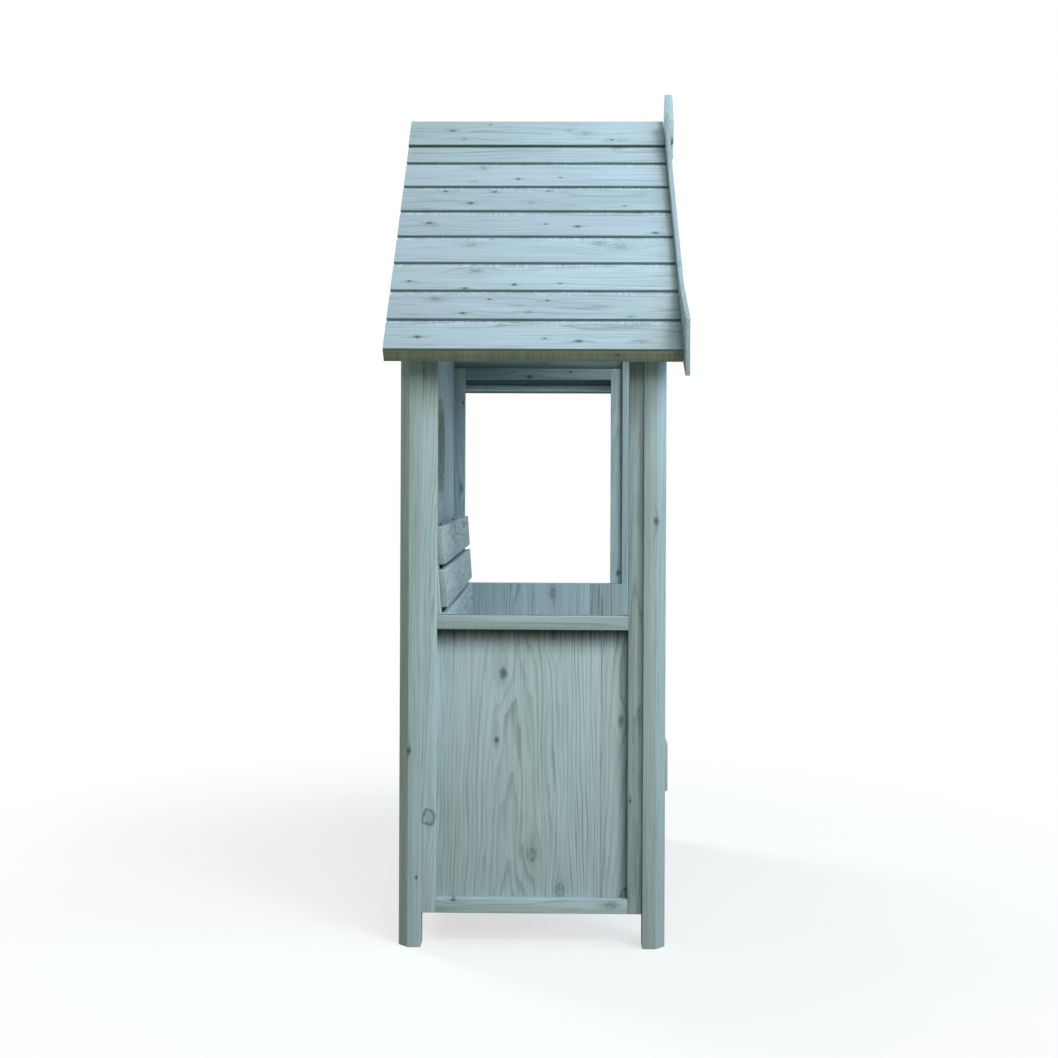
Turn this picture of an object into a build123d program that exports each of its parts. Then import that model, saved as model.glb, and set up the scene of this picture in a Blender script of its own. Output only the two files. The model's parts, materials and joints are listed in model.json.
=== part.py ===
"""Timber arbor seat: two framed sides, a boarded back, a slatted bench and a steep gable roof."""

import os
from math import cos, radians, sin, tan

from build123d import *

os.makedirs("parts", exist_ok=True)

# Millimetres. X runs across the seat, Y from the open front to the back, Z up from the ground.

# Clearances
fit_gap = 0.3
board_gap = 0.6

# Posts
side_span = 1104
body_depth = 620
post_width = 53
post_depth = 50
post_proud = 12
post_chamfer = 22

# Side frames and their lower panels
ground_clearance = 77
stile_width = 34
frame_depth = 22
bottom_rail_height = 34
middle_rail_top = 769
middle_rail_height = 32
frame_top = 1425
top_rail_height = 33
panel_thickness = 16
panel_board_width = 97

# Roof
roof_pitch = 45
roof_clearance = 4
eave_reach = 659
front_overhang = 29
back_overhang = 30
roof_board_thickness = 14
roof_board_cover = 108
lip_thickness = 7
lap_width = 12
scoop_width = 15
scoop_sag = 2
rafter_depth = 28
eave_board_thickness = 12
eave_board_depth = 38
batten_width = 34
ridge_board_width = 106
ridge_board_thickness = 9

# Bargeboards and finial
barge_thickness = 11
barge_reach = 700
barge_rise = 37
barge_height = 134
barge_end_height = 129
eave_flare_start = 490
eave_flare_rise = 70
eave_flare_angle = 32
apex_flare_start = 235
apex_flare_rise = 52
apex_flare_angle = 58
apex_end_width = 18
apex_end_fall = 11
finial_half_width = 53
finial_thickness = 21
finial_setback = 4
finial_foot_drop = 41
finial_shoulder_height = 60
finial_point_height = 81
finial_stem_width = 62
finial_stem_drop = 36

# Back wall
wall_board_count = 10
wall_board_thickness = 18
wall_board_chamfer = 2
wall_rail_height = 70
wall_rail_thickness = 35
cutout_diameter = 296
cutout_centre = 1158

# Seat
seat_height = 470
seat_slat_count = 5
seat_slat_gap = 8
seat_slat_thickness = 20
apron_height = 114
apron_thickness = 20
apron_proud = 8
bearer_height = 45
bearer_thickness = 45
seat_rail_height = 70
seat_rail_thickness = 35
seat_rail_lead = 2

# Backrest
backrest_slat_count = 5
backrest_slat_height = 88
backrest_slat_thickness = 17.5
backrest_pitch = 101
backrest_top = 974
backrest_wall_gap = 45
recline_angle = 3.9
support_width = 40
support_thickness = 25

# Places worked out from the sizes above
frame_outside = side_span / 2
frame_inside = frame_outside - frame_depth
post_outside = frame_outside + post_proud
post_inside = post_outside - post_depth
panel_inside = frame_inside - panel_thickness
body_front = -body_depth / 2
body_back = body_depth / 2
bay_half = body_depth / 2 - post_width
stile_inside = bay_half - stile_width
pitch_sin = sin(radians(roof_pitch))
pitch_cos = cos(radians(roof_pitch))
pitch_tan = tan(radians(roof_pitch))
roof_front = body_front - front_overhang
roof_back = body_back + back_overhang
roof_length = roof_back - roof_front
rafter_top = -roof_board_thickness
rafter_bottom = rafter_top - rafter_depth
ridge_height = frame_top + roof_clearance + frame_outside * pitch_tan - rafter_bottom / pitch_cos
eave_height = ridge_height - eave_reach * pitch_tan
rafter_underside_ridge = ridge_height + rafter_bottom / pitch_cos


def write(part, name):
    """Label one finished piece and write its file."""
    part.label = name
    export_step(part, f"parts/{name}.step")


def write_pair(part, name):
    """Write the piece of the right side, at +X, and its mirror on the left side."""
    write(part, f"right_{name}")
    write(mirror(part, about=Plane.YZ), f"left_{name}")


def block(x_range, y_range, z_range):
    """A squared piece of timber between the given limits."""
    with BuildPart() as timber:
        with BuildSketch(Plane.XY.offset(z_range[0])):
            with Locations(((x_range[0] + x_range[1]) / 2, (y_range[0] + y_range[1]) / 2)):
                Rectangle(x_range[1] - x_range[0], y_range[1] - y_range[0])
        extrude(amount=z_range[1] - z_range[0])
    return timber.part


def slope_plane(y):
    """Plane across the right slope: local X climbs the slope, local Y points out of the roof."""
    return Plane(
        origin=(eave_reach, y, eave_height),
        x_dir=(-pitch_cos, 0, pitch_sin),
        z_dir=(0, 1, 0),
    )


def plumb(height):
    """Distance up the slope at which a point this far out of the roof meets the plane X = 0."""
    return (eave_reach + height * pitch_sin) / pitch_cos


def rafter_underside(x):
    """Height of the rafters' lower face above the ground."""
    return rafter_underside_ridge - abs(x) * pitch_tan


# Posts with their outer corner chamfered and their tops cut to the rafters
def corner_post(front):
    y_side = -1 if front else 1
    y_middle = y_side * (bay_half + post_width / 2)
    with BuildPart() as post:
        with BuildSketch(Plane.XY):
            with Locations(((post_outside + post_inside) / 2, y_middle)):
                Rectangle(post_depth, post_width)
        extrude(amount=rafter_underside(0))
        outer_edge = post.edges().filter_by(Axis.Z).sort_by(Axis.X)[2:].sort_by(Axis.Y)
        chamfer(outer_edge[0] if front else outer_edge[-1], length=post_chamfer)
        split(
            bisect_by=Plane(
                origin=(0, 0, rafter_underside(0)),
                z_dir=(pitch_sin, 0, pitch_cos),
            ),
            keep=Keep.BOTTOM,
        )
    return post.part


write_pair(corner_post(front=True), "front_post")
write_pair(corner_post(front=False), "back_post")

# Side frames: two stiles with three rails between them
stile_limits = (frame_inside, frame_outside)
write_pair(
    block(stile_limits, (-bay_half, -stile_inside), (ground_clearance, frame_top)), "front_stile"
)
write_pair(block(stile_limits, (stile_inside, bay_half), (ground_clearance, frame_top)), "back_stile")
side_rails = {
    "bottom_rail": (ground_clearance, ground_clearance + bottom_rail_height),
    "middle_rail": (middle_rail_top - middle_rail_height, middle_rail_top),
    "top_rail": (frame_top - top_rail_height, frame_top),
}
for rail_name, rail_heights in side_rails.items():
    write_pair(block(stile_limits, (-stile_inside, stile_inside), rail_heights), rail_name)

# Lower side panels of a narrow and a wide board, fixed to the inner faces of the frames
panel_joint = panel_board_width - bay_half
with BuildPart() as side_panel:
    for panel_board in ((-bay_half, panel_joint - board_gap), (panel_joint, bay_half)):
        with BuildSketch(Plane.XY.offset(ground_clearance)):
            with Locations(((panel_inside + frame_inside) / 2, sum(panel_board) / 2)):
                Rectangle(panel_thickness, panel_board[1] - panel_board[0])
        extrude(amount=middle_rail_top - ground_clearance)
write_pair(side_panel.part, "side_panel")

# Rafters over the posts, mitred against each other at the ridge
for rafter_name, rafter_y in {"front_rafter": body_front, "back_rafter": bay_half}.items():
    with BuildPart() as rafter:
        with BuildSketch(slope_plane(rafter_y)):
            with BuildLine():
                Polyline(
                    (eave_board_thickness, rafter_top),
                    (plumb(rafter_top), rafter_top),
                    (plumb(rafter_bottom), rafter_bottom),
                    (eave_board_thickness, rafter_bottom),
                    close=True,
                )
            make_face()
        extrude(amount=post_width)
    write_pair(rafter.part, rafter_name)

# Battens under the roof boards, above the side frames
batten_foot = (eave_reach + rafter_bottom * pitch_sin - frame_outside) / pitch_cos
with BuildPart() as roof_batten:
    with BuildSketch(slope_plane(-bay_half)):
        with Locations((batten_foot + batten_width / 2, (rafter_top + rafter_bottom) / 2)):
            Rectangle(batten_width, rafter_depth)
    extrude(amount=2 * bay_half)
write_pair(roof_batten.part, "roof_batten")

# Eave boards in the rebate of the lowest roof boards, across the rafters' feet
with BuildPart() as eave_board:
    with BuildSketch(slope_plane(roof_front)):
        with BuildLine():
            Polyline(
                (0, -eave_board_depth),
                (0, -lip_thickness - fit_gap),
                (lap_width - fit_gap, -lip_thickness - fit_gap),
                (lap_width - fit_gap, rafter_top - fit_gap),
                (eave_board_thickness, rafter_top - fit_gap),
                (eave_board_thickness, -eave_board_depth),
                close=True,
            )
        make_face()
    extrude(amount=roof_length)
write_pair(eave_board.part, "eave_board")


# Roof boards: each laps the one below, with a scooped upper edge
def roof_board_outline(start):
    """Section of one board whose lower edge stands this far up the slope."""
    upper = start + roof_board_cover
    tongue_face = -lip_thickness - board_gap
    Polyline(
        (upper - scoop_width, 0),
        (start, 0),
        (start, -lip_thickness),
        (start + lap_width, -lip_thickness),
        (start + lap_width, rafter_top),
        (upper + lap_width - board_gap, rafter_top),
        (upper + lap_width - board_gap, tongue_face),
        (upper, tongue_face),
    )
    middle = (upper - scoop_width / 2 - scoop_sag / 2, tongue_face / 2 - scoop_sag)
    ThreePointArc((upper, tongue_face), middle, (upper - scoop_width, 0))


def top_board_outline(start):
    """Section of the narrow board that closes the slope at the ridge."""
    Polyline(
        (plumb(0) - board_gap, 0),
        (start, 0),
        (start, -lip_thickness),
        (start + lap_width, -lip_thickness),
        (start + lap_width, rafter_top),
        (plumb(rafter_top) - board_gap, rafter_top),
        close=True,
    )


full_courses = int((plumb(rafter_top) - 2 * lap_width) / roof_board_cover)
with BuildPart() as roof_boards:
    for course in range(full_courses):
        with BuildSketch(slope_plane(roof_front)):
            with BuildLine():
                roof_board_outline(course * roof_board_cover)
            make_face()
        extrude(amount=roof_length)
    with BuildSketch(slope_plane(roof_front)):
        with BuildLine():
            top_board_outline(full_courses * roof_board_cover)
        make_face()
    extrude(amount=roof_length)
write_pair(roof_boards.part, "roof_boards")

# Ridge boards over the top course, mitred at the ridge
with BuildPart() as ridge_board:
    with BuildSketch(slope_plane(roof_front)):
        with BuildLine():
            Polyline(
                (plumb(0) - ridge_board_width, 0),
                (plumb(0), 0),
                (plumb(ridge_board_thickness), ridge_board_thickness),
                (plumb(0) - ridge_board_width, ridge_board_thickness),
                close=True,
            )
        make_face()
    extrude(amount=roof_length)
write_pair(ridge_board.part, "ridge_board")


# Bargeboards: straight along the slope, flared out at the eave and swept up to the finial
def barge_top(x):
    return ridge_height + barge_rise - x * pitch_tan


def barge_bottom(x):
    return barge_top(x) - barge_height


def finial_corner(clearance):
    """Start, middle and end of the head's rounded lower corner, kept this far clear of it."""
    radius = head_radius + clearance
    centre_height = head_foot + head_radius
    start = (stem_half, centre_height - radius)
    middle = (stem_half + radius * sin(radians(45)), centre_height - radius * cos(radians(45)))
    return start, middle, (stem_half + radius, centre_height)


barge_front = roof_front - barge_thickness
slope_direction = (1, -pitch_tan)
flare_direction = (1, -tan(radians(eave_flare_angle)))
sweep_direction = (1, -tan(radians(apex_flare_angle)))
sweep_end = (apex_flare_start, barge_top(apex_flare_start))
sweep_x = finial_half_width + apex_end_width
sweep_top = (sweep_x, barge_top(sweep_x) + apex_flare_rise)
head_foot = barge_top(0) - finial_foot_drop - apex_flare_rise
stem_half = finial_stem_width / 2
head_radius = finial_half_width - stem_half
flare_top = (barge_reach, barge_top(barge_reach) + eave_flare_rise)
flare_bottom = (barge_reach, flare_top[1] - barge_end_height)
with BuildPart() as bargeboard:
    with BuildSketch(Plane.XZ.offset(-roof_front)):
        with BuildLine():
            corner_start, corner_middle, corner_end = finial_corner(fit_gap)
            Polyline(
                (eave_flare_start, barge_bottom(eave_flare_start)),
                (0, barge_bottom(0)),
                (0, corner_start[1]),
                corner_start,
            )
            ThreePointArc(corner_start, corner_middle, corner_end)
            Polyline(corner_end, (corner_end[0], sweep_top[1] - apex_end_fall), sweep_top)
            Spline(sweep_top, sweep_end, tangents=(sweep_direction, slope_direction))
            flare_start = (eave_flare_start, barge_top(eave_flare_start))
            Line(sweep_end, flare_start)
            Spline(flare_start, flare_top, tangents=(slope_direction, flare_direction))
            Line(flare_top, flare_bottom)
            reverse_flare = (-flare_direction[0], -flare_direction[1])
            reverse_slope = (-slope_direction[0], -slope_direction[1])
            bottom_end = (eave_flare_start, barge_bottom(eave_flare_start))
            Spline(flare_bottom, bottom_end, tangents=(reverse_flare, reverse_slope))
        make_face()
    extrude(amount=barge_thickness)
write_pair(bargeboard.part, "bargeboard")

# Finial: an ogee head let in between the bargeboards, its stem lapped over their joint
shoulder = head_foot + finial_shoulder_height
finial_tip = shoulder + finial_point_height
finial_back = roof_front - finial_setback
finial_front = finial_back - finial_thickness
with BuildPart() as finial:
    with BuildSketch(Plane.XZ.offset(-finial_back)):
        with BuildLine():
            corner_start, corner_middle, corner_end = finial_corner(0)
            Line((0, head_foot), corner_start)
            ThreePointArc(corner_start, corner_middle, corner_end)
            Line(corner_end, (finial_half_width, shoulder))
            Spline(
                (finial_half_width, shoulder),
                (finial_half_width * 0.4, shoulder + finial_point_height * 0.5),
                (0, finial_tip),
            )
            Line((0, finial_tip), (0, head_foot))
        make_face()
        mirror(about=Plane.YZ)
    extrude(amount=finial_thickness)
    with BuildSketch(Plane.XZ.offset(-barge_front + fit_gap)):
        with Locations((0, head_foot - finial_stem_drop / 2)):
            Rectangle(finial_stem_width, finial_stem_drop)
    extrude(amount=barge_front - fit_gap - finial_front)
write(finial.part, "finial")

# Back wall: upright boards between the back posts, with a round opening
board_pitch = 2 * post_inside / wall_board_count
wall_front = bay_half
wall_back = wall_front + wall_board_thickness
with BuildPart() as wall_boards:
    for index in range(wall_board_count):
        left = -post_inside + index * board_pitch + board_gap / 2
        right = left + board_pitch - board_gap
        with BuildSketch(Plane.XZ.offset(-wall_front)):
            with BuildLine():
                Polyline(
                    (left, ground_clearance),
                    (right, ground_clearance),
                    (right, rafter_underside(right) - fit_gap),
                    (left, rafter_underside(left) - fit_gap),
                    close=True,
                )
            make_face()
        extrude(amount=-wall_board_thickness)
    chamfer(
        wall_boards.edges().filter_by(Axis.Z).group_by(Axis.Y)[0],
        length=wall_board_chamfer,
    )
    with BuildSketch(Plane.XZ.offset(-wall_front)):
        with Locations((0, cutout_centre)):
            Circle(cutout_diameter / 2)
    extrude(amount=-wall_board_thickness, mode=Mode.SUBTRACT)
write(wall_boards.part, "back_wall_boards")

# Rails that hold the back boards, between the back posts
wall_rails = {
    "back_bottom_rail": ground_clearance,
    "back_middle_rail": middle_rail_top - wall_rail_height,
    "back_top_rail": frame_top - wall_rail_height,
}
for rail_name, rail_foot in wall_rails.items():
    rail = block(
        (-post_inside, post_inside),
        (wall_back, wall_back + wall_rail_thickness),
        (rail_foot, rail_foot + wall_rail_height),
    )
    write(rail, rail_name)

# Seat: apron between the front posts, bearers on the side panels, slats on the bearers
slat_underside = seat_height - seat_slat_thickness
slat_half = post_inside - fit_gap
apron_back = body_front - apron_proud + apron_thickness
apron = block(
    (-post_inside, post_inside),
    (body_front - apron_proud, apron_back),
    (seat_height - apron_height, seat_height),
)
write(apron, "seat_apron")

lean = radians(recline_angle)
backrest_front = bay_half - backrest_wall_gap
support_foot = (
    backrest_front
    + backrest_slat_thickness / cos(lean)
    - (backrest_top - slat_underside) * tan(lean)
)
seat_rail_front = support_foot - seat_rail_lead
slat_step = (seat_rail_front - apron_back) / seat_slat_count
seat_slat_width = slat_step - seat_slat_gap
with BuildPart() as seat_slats:
    first_slat = apron_back + fit_gap + seat_slat_width / 2
    for index in range(seat_slat_count):
        slat_middle = first_slat + index * slat_step
        with BuildSketch(Plane.XY.offset(slat_underside)):
            with Locations((0, slat_middle)):
                Rectangle(2 * slat_half, seat_slat_width)
        extrude(amount=seat_slat_thickness)
write(seat_slats.part, "seat_slats")

seat_rail = block(
    (-panel_inside, panel_inside),
    (seat_rail_front, seat_rail_front + seat_rail_thickness),
    (slat_underside - seat_rail_height, slat_underside),
)
write(seat_rail, "seat_back_rail")

bearer_heights = (slat_underside - bearer_height, slat_underside)
side_bearer = block(
    (panel_inside - bearer_thickness, panel_inside),
    (-bay_half, seat_rail_front),
    bearer_heights,
)
write_pair(side_bearer, "seat_bearer")
middle_bearer = block(
    (-bearer_thickness / 2, bearer_thickness / 2),
    (apron_back, seat_rail_front),
    bearer_heights,
)
write(middle_bearer, "middle_seat_bearer")


# Backrest: reclined slats on three supports that stand on the seat's back rail
def backrest_plane(x):
    """Plane of one cross-section: local X points back, local Y climbs the recline."""
    return Plane(
        origin=(x, backrest_front, backrest_top),
        x_dir=(0, cos(lean), -sin(lean)),
        z_dir=(1, 0, 0),
    )


with BuildPart() as backrest_slats:
    for index in range(backrest_slat_count):
        with BuildSketch(backrest_plane(-slat_half)):
            with Locations(
                (backrest_slat_thickness / 2, -index * backrest_pitch - backrest_slat_height / 2)
            ):
                Rectangle(backrest_slat_thickness, backrest_slat_height)
        extrude(amount=2 * slat_half)
write(backrest_slats.part, "backrest_slats")


def backrest_support(x):
    with BuildPart() as support:
        length = backrest_top
        with BuildSketch(backrest_plane(x)):
            with Locations((backrest_slat_thickness + support_thickness / 2, -length / 2)):
                Rectangle(support_thickness, length)
        extrude(amount=support_width)
        split(bisect_by=Plane.XY.offset(slat_underside), keep=Keep.TOP)
    return support.part


write_pair(backrest_support(post_inside - support_width), "backrest_support")
write(backrest_support(-support_width / 2), "middle_backrest_support")
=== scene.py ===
"""Garden arbor seat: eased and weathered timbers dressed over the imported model."""

import json
import random
from math import cos, radians, sin

import bpy
from mathutils import Matrix, Vector

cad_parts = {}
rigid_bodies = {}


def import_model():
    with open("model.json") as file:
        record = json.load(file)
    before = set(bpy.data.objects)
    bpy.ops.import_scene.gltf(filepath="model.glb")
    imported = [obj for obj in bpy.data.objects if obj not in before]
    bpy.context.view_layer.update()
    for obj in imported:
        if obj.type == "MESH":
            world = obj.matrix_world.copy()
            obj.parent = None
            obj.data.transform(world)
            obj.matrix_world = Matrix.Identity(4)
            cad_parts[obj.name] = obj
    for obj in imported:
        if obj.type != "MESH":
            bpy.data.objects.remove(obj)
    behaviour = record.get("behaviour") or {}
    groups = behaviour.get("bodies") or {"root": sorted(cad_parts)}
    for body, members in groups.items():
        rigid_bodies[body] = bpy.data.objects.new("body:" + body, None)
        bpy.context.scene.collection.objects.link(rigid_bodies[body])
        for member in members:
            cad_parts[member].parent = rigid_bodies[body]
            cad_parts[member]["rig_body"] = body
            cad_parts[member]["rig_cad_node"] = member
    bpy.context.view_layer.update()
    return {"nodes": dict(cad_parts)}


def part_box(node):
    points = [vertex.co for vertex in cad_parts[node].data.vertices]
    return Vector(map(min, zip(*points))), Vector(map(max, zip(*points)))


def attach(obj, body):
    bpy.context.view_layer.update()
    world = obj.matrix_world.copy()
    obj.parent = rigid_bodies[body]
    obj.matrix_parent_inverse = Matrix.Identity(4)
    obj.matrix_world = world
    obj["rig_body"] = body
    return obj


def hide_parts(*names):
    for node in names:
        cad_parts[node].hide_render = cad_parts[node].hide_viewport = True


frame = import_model()

bl_info = {
    "name": "Garden arbor seat",
    "version": (1, 0, 0),
    "blender": (4, 5, 0),
    "location": "3D View > Sidebar > Arbor seat",
    "description": "Dresses the timbers of a gabled garden seat and sets its studio",
    "category": "Object",
}

# Knots listed one by one: distances across and along from the middle of the board, and radius.
# A negative radius is a swirl of the grain without a dark heart.
ROOF_KNOTS = {
    0: [
        (-0.019, 0.263, 0.006),
        (0.034, 0.039, 0.0032),
        (-0.024, -0.026, 0.0034),
        (-0.033, -0.104, 0.006),
        (0.037, -0.305, 0.0032),
        (-0.032, -0.247, -0.007),
    ],
    1: [
        (0.012, 0.23, -0.008),
        (-0.041, 0.164, 0.005),
        (0.011, 0.104, 0.0034),
        (-0.036, 0.011, -0.004),
        (0.007, -0.031, 0.0036),
        (-0.052, -0.225, -0.004),
    ],
    2: [
        (0.013, 0.141, -0.009),
        (-0.041, 0.047, 0.005),
        (-0.036, -0.062, 0.0034),
        (-0.055, 0.163, 0.004),
        (-0.028, 0.297, 0.0045),
    ],
    3: [
        (0.008, 0.158, -0.007),
        (0.035, 0.108, 0.0045),
        (0.036, 0.021, 0.0032),
        (0.016, -0.154, -0.009),
        (0.002, -0.207, -0.011),
    ],
    4: [
        (-0.008, 0.263, 0.0055),
        (-0.012, -0.026, 0.0034),
        (-0.022, -0.105, 0.0055),
        (-0.048, -0.297, 0.005),
    ],
    5: [
        (0.022, 0.23, 0.0045),
        (0.02, 0.105, 0.0045),
        (0.023, -0.031, 0.0032),
        (-0.03, 0.164, 0.0055),
        (-0.026, 0.012, -0.005),
        (-0.041, -0.225, 0.0032),
    ],
    6: [
        (0.022, 0.14, -0.007),
        (-0.029, 0.046, 0.0045),
        (-0.023, -0.063, 0.0032),
        (-0.04, 0.159, -0.004),
    ],
    7: [(0.007, -0.215, -0.007)],
}
RIDGE_KNOTS = {
    0: [
        (0.04, 0.125, 0.0034),
        (0.009, 0.225, 0.0045),
        (-0.031, 0.191, -0.005),
        (-0.001, -0.134, -0.009),
        (-0.034, -0.199, 0.004),
    ]
}
PANEL_KNOTS = {
    0: [(0.002, 0.1, -0.005), (-0.012, -0.31, -0.014)],
    1: [
        (0.02, 0.21, 0.0085),
        (0.035, 0.053, 0.005),
        (-0.048, -0.215, -0.011),
        (-0.097, 0.303, -0.009),
        (-0.115, -0.297, -0.011),
    ],
}
FAR_PANEL_KNOTS = {0: [(0.097, 0.316, -0.01), (-0.06, -0.12, 0.005)], 1: []}
STILE_KNOTS = {
    "left_front_stile": {0: [(0.012, -0.41, 0.003)]},
    "left_back_stile": {0: [(0.0, -0.452, -0.014)]},
    "right_front_stile": {0: [(-0.007, 0.049, 0.007)]},
}
POST_KNOTS = {
    "left_front_post": {0: [(-0.002, 0.257, 0.006)]},
    "left_back_post": {0: [(0.002, -0.278, 0.005), (-0.016, -0.571, 0.003)]},
    "right_front_post": {0: []},
}

# Ring spacing, place of the pith and its drift along the board, for the boards of a panel
PANEL_CUTS = {
    0: (0.0088, (0.024, 0.05), (0.01, 0.05)),
    1: (0.0074, (0.0, 0.09), (0.006, 0.04)),
}

# Boards lighter or darker than their neighbours: a tone of their own, and on the far side under
# the roof painted shade
BOARD_TONES_AND_SHADE = {
    "left_middle_rail": -0.13,
    "left_bottom_rail": -0.06,
    "left_front_stile": -0.19,
    "left_front_post": -0.07,
    "left_back_post": -0.08,
    # Far side under the roof: painted shade
    "right_back_stile": -0.08,
    "left_bargeboard": -0.13,
    # Far side under the roof: painted shade
    "right_top_rail": -0.3,
    "right_side_panel": -0.25,
}

# Directions that the timbers follow
X_AXIS = Vector((1, 0, 0))
Y_AXIS = Vector((0, 1, 0))
Z_AXIS = Vector((0, 0, 1))
PITCH = radians(45)
RECLINE = radians(3.9)
RECLINE_UP = Vector((0, sin(RECLINE), cos(RECLINE)))

# Knots, in metres: a radius over this is drawn as an oval outline
KNOTS_PER_BOARD = 6
OVAL_KNOT = 0.013
KNOT_SIZES = (0.003, 0.004, 0.0055, -0.006, -0.008)
NO_KNOT = (0, 9.0, 0.001)

# Scoop of a roof board, from the board's middle: where the cutter's marks rise and end
SCOOP_FOOT = (0.02, 0.036)
SCOOP_HEAD = (0.047, 0.0485)

# Shade on a side panel: below the line under its rail, and beside the stile on its narrow board
RAIL_LINE = 0.002
RAIL_SHADE = 0.066
STILE_SHADE = (-0.014, 0.012)
NARROW_BOARD = 0.12

# Merging of a CAD mesh, the angles of its edges and the finest rounding
SAME_POINT = 0.00002
FLAT = radians(0.5)
SHARP = radians(32)
SMOOTH = radians(35)
FINE_ARRIS = 0.0008

# Screw heads
SCREW_RADIUS = 0.0032
SCREW_DEPTH = 0.0016
SCREW_RIM = 0.0009
SCREW_RECESS = 0.0004
SCREW_SUNK = 0.0004
SCREW_MARGIN = 0.01

# Camera of the photograph, whose width and whose horizon over the middle are in pixels
CAMERA_PLACE = (-3.982, -0.045, 1.09)
CAMERA_YAW = radians(0.913)
CAMERA_ROLL = 0.004
PHOTO_WIDTH = 1058
PHOTO_HORIZON = 51

# Where the floor turns white, from the seat's middle
FLOOR_CLEARS = (0.7, 2.2)

# Soft lamps, aimed at the middle of the seat: name, place, width, power and colour
LAMP_AIM = Vector((0, 0, 1.2))
LAMPS = (
    ("key", (-7.0, -6.3, 8.8), 4.8, 770, (0.9, 0.95, 1.0)),
    ("sky", (-2.6, -0.9, 6.0), 4.0, 42, (0.64, 0.82, 1.0)),
    ("side", (-10.0, -2.6, 6.2), 4.8, 340, (1.0, 0.96, 0.82)),
    ("front", (-1.3, -4.4, 4.8), 2.4, 108, (0.44, 0.7, 1.0)),
    ("back", (4.6, 5.4, 5.4), 3.0, 400, (0.84, 0.93, 1.0)),
)


# Properties


class TimberProperties(bpy.types.PropertyGroup):
    """Colours and edges of the treated softwood."""

    pale: bpy.props.FloatVectorProperty(
        name="Pale wood",
        description="Early wood between the growth rings",
        default=(0.435, 0.558, 0.632),
        subtype="COLOR",
        min=0,
        max=1,
    )
    green: bpy.props.FloatVectorProperty(
        name="Green tint",
        description="Broad patches where the treatment took more strongly",
        default=(0.4, 0.523, 0.548),
        subtype="COLOR",
        min=0,
        max=1,
    )
    ring: bpy.props.FloatVectorProperty(
        name="Growth rings",
        description="Dark late wood",
        default=(0.135, 0.205, 0.2),
        subtype="COLOR",
        min=0,
        max=1,
    )
    knot: bpy.props.FloatVectorProperty(
        name="Knots",
        description="Heart of a knot",
        default=(0.08, 0.11, 0.108),
        subtype="COLOR",
        min=0,
        max=1,
    )
    rough: bpy.props.FloatVectorProperty(
        name="Rough sawn wood",
        description="Sawn faces that were never planed",
        default=(0.29, 0.335, 0.282),
        subtype="COLOR",
        min=0,
        max=1,
    )
    arris: bpy.props.FloatProperty(
        name="Eased arris",
        description="Radius of the timbers' rounded edges",
        default=0.0012,
        subtype="DISTANCE",
        unit="LENGTH",
        min=0,
    )


class StageProperties(bpy.types.PropertyGroup):
    """Studio round the seat."""

    floor: bpy.props.FloatVectorProperty(
        name="Floor",
        description="Colour of the plain floor",
        default=(0.9, 0.9, 0.9),
        subtype="COLOR",
        min=0,
        max=1,
    )
    ambient: bpy.props.FloatProperty(
        name="Surround",
        description="Strength of the even light from all round",
        default=0.2,
        min=0,
    )
    lamps: bpy.props.FloatProperty(
        name="Lamps",
        description="Strength of all the soft lamps together",
        default=1.0,
        min=0,
    )
    lens: bpy.props.FloatProperty(
        name="Lens",
        description="Focal length of the camera",
        default=50.19,
        subtype="DISTANCE_CAMERA",
        unit="CAMERA",
        min=1,
    )


# Shader expressions


class Field:
    """A number that varies over a surface. Arithmetic on it adds Math nodes."""

    def __init__(self, nodes, socket):
        self.nodes = nodes
        self.socket = socket

    def __add__(self, other):
        return self.nodes.math("ADD", self, other)

    def __sub__(self, other):
        return self.nodes.math("SUBTRACT", self, other)

    def __rsub__(self, other):
        return self.nodes.math("SUBTRACT", other, self)

    def __mul__(self, other):
        return self.nodes.math("MULTIPLY", self, other)

    def __truediv__(self, other):
        return self.nodes.math("DIVIDE", self, other)

    __radd__ = __add__
    __rmul__ = __mul__


class Nodes:
    """A node tree under construction."""

    def __init__(self, tree):
        self.tree = tree
        self.tree.nodes.clear()

    def node(self, kind, settings, inputs):
        """Add a node, then its settings, then the values or links of its sockets."""
        made = self.tree.nodes.new(kind)
        for name, value in settings.items():
            setattr(made, name, value)
        for key, value in inputs.items():
            if isinstance(value, Field):
                value = value.socket
            if isinstance(value, bpy.types.NodeSocket):
                self.tree.links.new(value, made.inputs[key])
            else:
                made.inputs[key].default_value = value
        return made

    def math(self, operation, *values):
        made = self.node("ShaderNodeMath", {"operation": operation}, dict(enumerate(values)))
        return Field(self, made.outputs[0])

    def fold(self, operation, fields):
        """One number out of several, such as their sum or the largest."""
        folded = fields[0]
        for field in fields[1:]:
            folded = self.math(operation, folded, field)
        return folded

    def seen(self):
        """1 for what the camera sees, straight or in a reflection."""
        path = self.node("ShaderNodeLightPath", {}, {})
        rays = [Field(self, path.outputs[name]) for name in ("Is Camera Ray", "Is Glossy Ray")]
        return self.fold("MAXIMUM", rays)


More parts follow.
